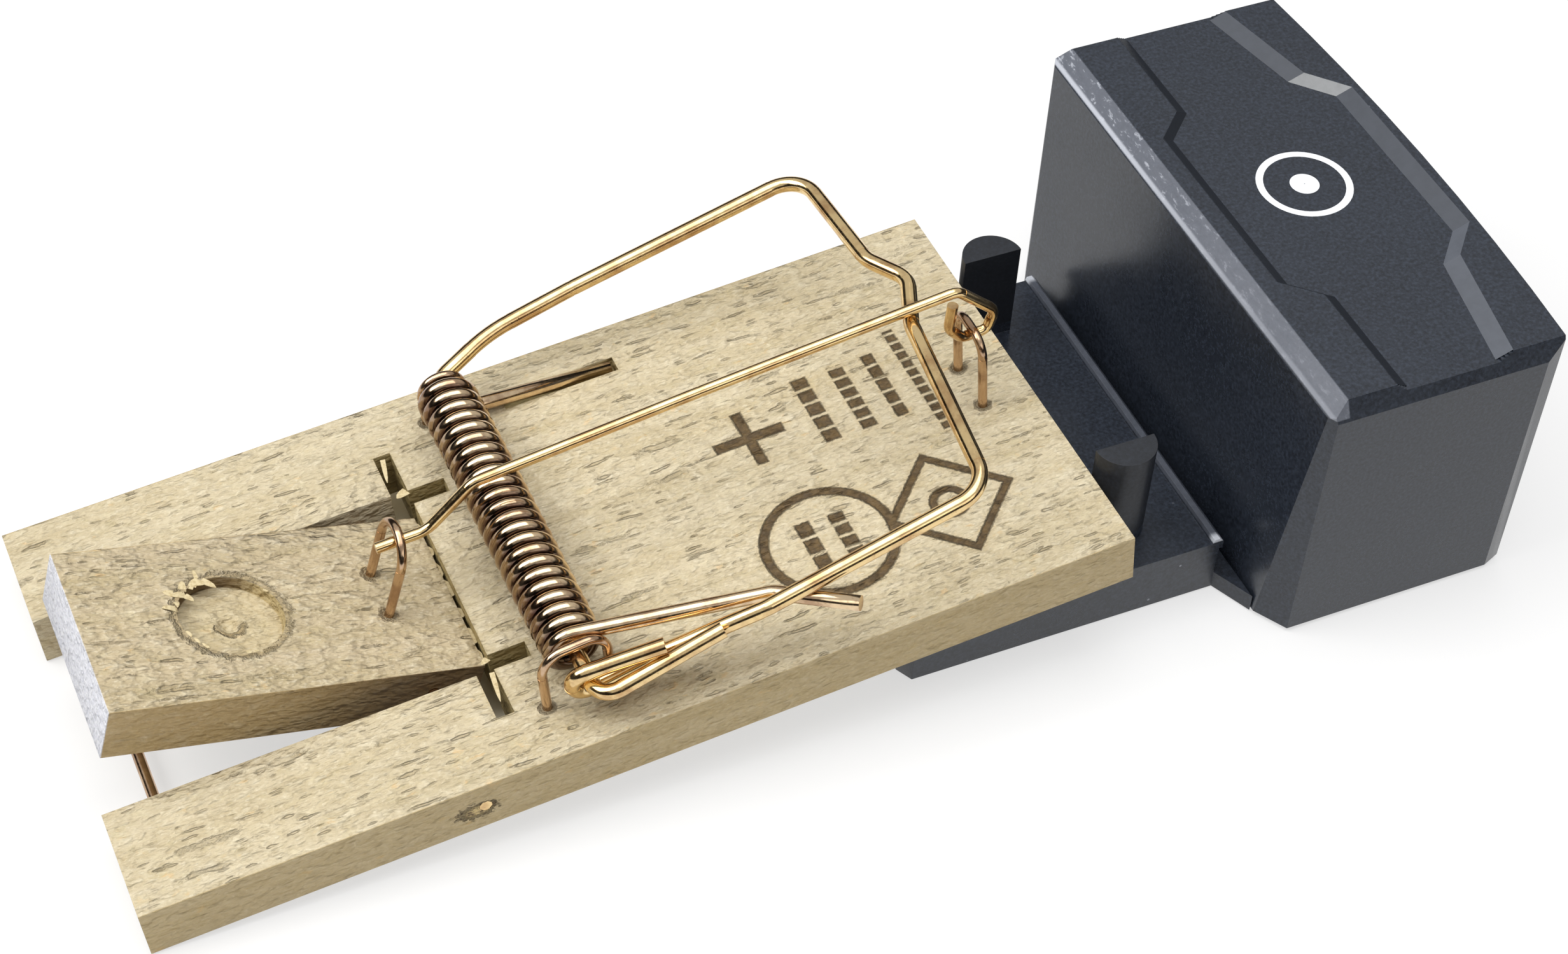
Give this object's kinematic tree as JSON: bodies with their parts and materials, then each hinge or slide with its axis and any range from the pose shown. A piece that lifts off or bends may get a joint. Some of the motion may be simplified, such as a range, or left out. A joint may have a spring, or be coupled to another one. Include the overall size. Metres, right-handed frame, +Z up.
{
  "type": "snap mouse trap",
  "caption": "Wooden snap mouse trap with a see-saw treadle, wire hammer, coil spring and trip wire, docked on a plastic sensor unit.",
  "frame": {"origin": "on the floor, under the middle of the whole object's box", "axes": "+X from the treadle end to the sensor housing, +Y to the back, across the board, +Z up"},
  "size_m": [0.1412, 0.0572, 0.031],
  "materials": {
    "wood": "planed beech, bare",
    "coppered_wire": "bright coppered steel wire",
    "case": "satin moulded plastic, charcoal",
    "seal": "soft black",
    "steel": "nickel plated",
    "green_board": "solder mask",
    "chip": "moulded",
    "gilt": "gilt"
  },
  "bodies": {
    "base": {"board": "wood", "treadle_pivot_wire": "coppered_wire", "stop_wire": "coppered_wire", "torsion_spring": "coppered_wire", "axle_staple_front": "coppered_wire", "axle_staple_back": "coppered_wire", "trip_wire_staple": "coppered_wire", "sensor_base": "case", "housing_cover": "case", "battery_door": "case", "housing_seal": "seal", "battery_cell": "steel", "contact_spring": "steel", "contact_plate": "steel", "circuit_board": "green_board", "radio_module": "steel", "motion_sensor": "chip", "antenna": "gilt", "case_screws": "steel", "board_screws": "steel"},
    "hammer": {"hammer": "coppered_wire"},
    "treadle": {"treadle": "wood", "treadle_staple": "coppered_wire"},
    "trip_wire": {"trip_wire": "coppered_wire"}
  },
  "joints": [
    {"name": "hammer_swing", "type": "hinge", "parent": "base", "child": "hammer", "pos_m": [-0.02688, 0, 0.01449], "axis": [0, -1, 0], "range_deg": [0, 170], "deforming": ["torsion_spring"]},
    {"name": "treadle_tilt", "type": "hinge", "parent": "base", "child": "treadle", "pos_m": [-0.03848, 0, 0.00623], "axis": [0, -1, 0], "range_deg": [0, 16]},
    {"name": "trip_wire_swing", "type": "hinge", "parent": "base", "child": "trip_wire", "pos_m": [0.02068, 0, 0.02401], "axis": [0, 1, 0], "range_deg": [0, 150]}
  ],
  "couplings": [
    {"joint": "treadle_tilt", "follows": "hammer_swing", "ratio": 0.094}
  ]
}
